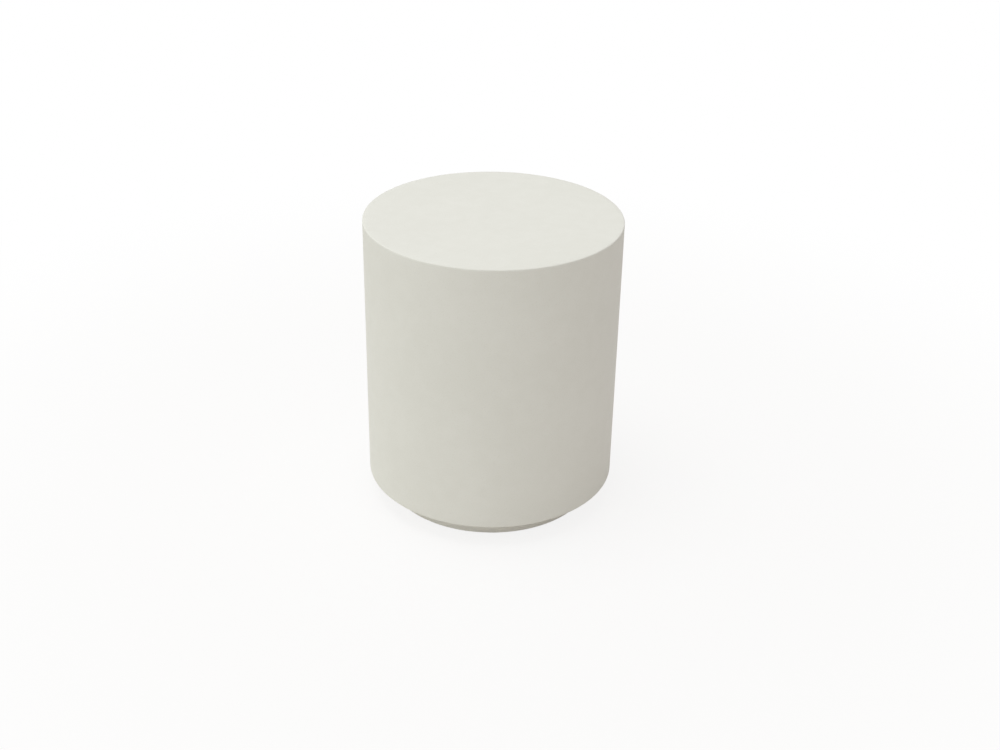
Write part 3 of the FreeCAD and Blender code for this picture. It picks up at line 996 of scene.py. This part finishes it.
floor_mesh = bpy.data.meshes.new("floor")
sides = (-FLOOR_HALF, FLOOR_HALF)
floor_mesh.from_pydata([(x, y, -FLOOR_DROP) for x in sides for y in sides], [], [(0, 2, 3, 1)])
floor = bpy.data.objects.new("floor", floor_mesh)
bpy.context.scene.collection.objects.link(floor)
floor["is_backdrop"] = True
print("floor of", 2 * FLOOR_HALF, "m")

# %% [markdown]
# Near the table a share of the floor's own shading is left, which keeps the soft shadow that the
# table stands in. Further out the floor is plain white and melts into the background. A look from
# below passes through the floor's back, and so does the light on what such a look finds, because
# the felt, the feet and the panel are only seen from there.

# %% Paint the floor
FLOOR_TONE = (0.88, 0.855, 0.82, 1)
WHITE = (1, 1, 1, 1)
FLOOR_SHADE = 0.16
SHADE_NEAR = 0.5
SHADE_FAR = 1.6


def seen_directly(graph):
    kinds = ("Is Camera Ray", "Is Glossy Ray", "Is Transmission Ray")
    camera_ray, glossy_ray, clear_ray = (graph.node("ShaderNodeLightPath", output=kind) for kind in kinds)
    return camera_ray | glossy_ray | clear_ray


ground = Finish("pale_floor", Base_Color=FLOOR_TONE, Roughness=0.9)
shaded = Value(ground, ground.shader.outputs[0])
away = ground.node("ShaderNodeVectorMath", {"operation": "LENGTH"}, {0: ground.place()}, output="Value")
plain = 1 - FLOOR_SHADE * (1 - away.rise(SHADE_NEAR, SHADE_FAR))
glow = ground.node("ShaderNodeEmission", {}, {"Color": WHITE, "Strength": 1.0})
above = ground.node("ShaderNodeMixShader", {}, {0: plain * seen_directly(ground), 1: shaded, 2: glow})
from_below = ground.node("ShaderNodeNewGeometry", output="Backfacing")
passed = ground.node("ShaderNodeLightPath", output="Transparent Depth")
clear = ground.node("ShaderNodeBsdfTransparent")
surface = ground.node("ShaderNodeMixShader", {}, {0: from_below | passed, 1: above, 2: clear})
ground.put(ground.tree.nodes["Material Output"].inputs["Surface"], surface)
floor_mesh.materials.append(ground.owner)
print("floor has", len(ground.tree.nodes), "nodes")

# %% [markdown]
# ## Room light
#
# In the photograph the wall falls off slowly and steadily from left to right, where it turns a little
# warmer. A lamp at the side would light one half and leave the other flat. The world itself is
# therefore brighter and cooler on the left, like a pale room with a large window.

# %% Light the room
WINDOW_SIDE = (0.92, 0.94, 0.92, 1)
FAR_SIDE = (0.40, 0.362, 0.362, 1)

world = Graph(bpy.data.worlds.new("studio"))
bpy.context.scene.world = world.owner
direction = world.node("ShaderNodeTexCoord", output="Generated")
rightwards = world.node("ShaderNodeSeparateXYZ", {}, {0: direction}, output="X")
room = world.blend(0.5 - 0.5 * rightwards, FAR_SIDE, WINDOW_SIDE)
dim = world.node("ShaderNodeBackground", {}, {"Color": room, "Strength": 1.0})
bright = world.node("ShaderNodeBackground", {}, {"Color": WHITE, "Strength": 1.0})
sky = world.node("ShaderNodeMixShader", {}, {0: seen_directly(world), 1: dim, 2: bright})
world.put(world.tree.nodes["World Output"].inputs["Surface"], sky)
print("world has", len(world.tree.nodes), "nodes")

# %% [markdown]
# ## Lamp
#
# The top of the drum is the brightest and quite even, and the rim has no glint. A sun would draw a hard
# shadow, while one broad lamp that hangs high and nearly overhead does not. Its power follows from
# the level that a white card under it would show. Lamp and room together come to about 1 on the
# top, so a colour renders about as it is written.

# %% Hang the lamp
LAMP_DIRECTION = Vector((-0.21, -0.06, 0.975)).normalized()
LAMP_DISTANCE = 4.0
LAMP_SIZE = 2.4
LAMP_LEVEL = 0.346
LAMP_TONE = (0.955, 0.973, 1.0)

lamp = bpy.data.objects.new("overhead_lamp", bpy.data.lights.new("overhead_lamp", "AREA"))
lamp.data.shape = "DISK"
lamp.data.size = LAMP_SIZE
lamp.data.color = LAMP_TONE
lamp.data.energy = LAMP_LEVEL * (math.pi * LAMP_DISTANCE) ** 2
lamp_turn = LAMP_DIRECTION.to_track_quat("Z", "Y").to_matrix().to_4x4()
lamp.matrix_world = Matrix.Translation(middle + LAMP_DIRECTION * LAMP_DISTANCE) @ lamp_turn
bpy.context.scene.collection.objects.link(lamp)
bpy.context.scene.view_settings.view_transform = "Standard"
print("lamp of", round(lamp.data.energy, 1), "W at", [round(v, 2) for v in lamp.location])

# %% [markdown]
# ## Print the sizes
#
# The dressed table has to fit the CAD model's box, so both boxes are printed side by side.

# %% Print the sizes
boxes = {"cad": cad_bounds, "visual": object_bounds()}
for name, (low, high) in boxes.items():
    print(name, "box in metres:", [round(b - a, 4) for a, b in zip(low, high)])
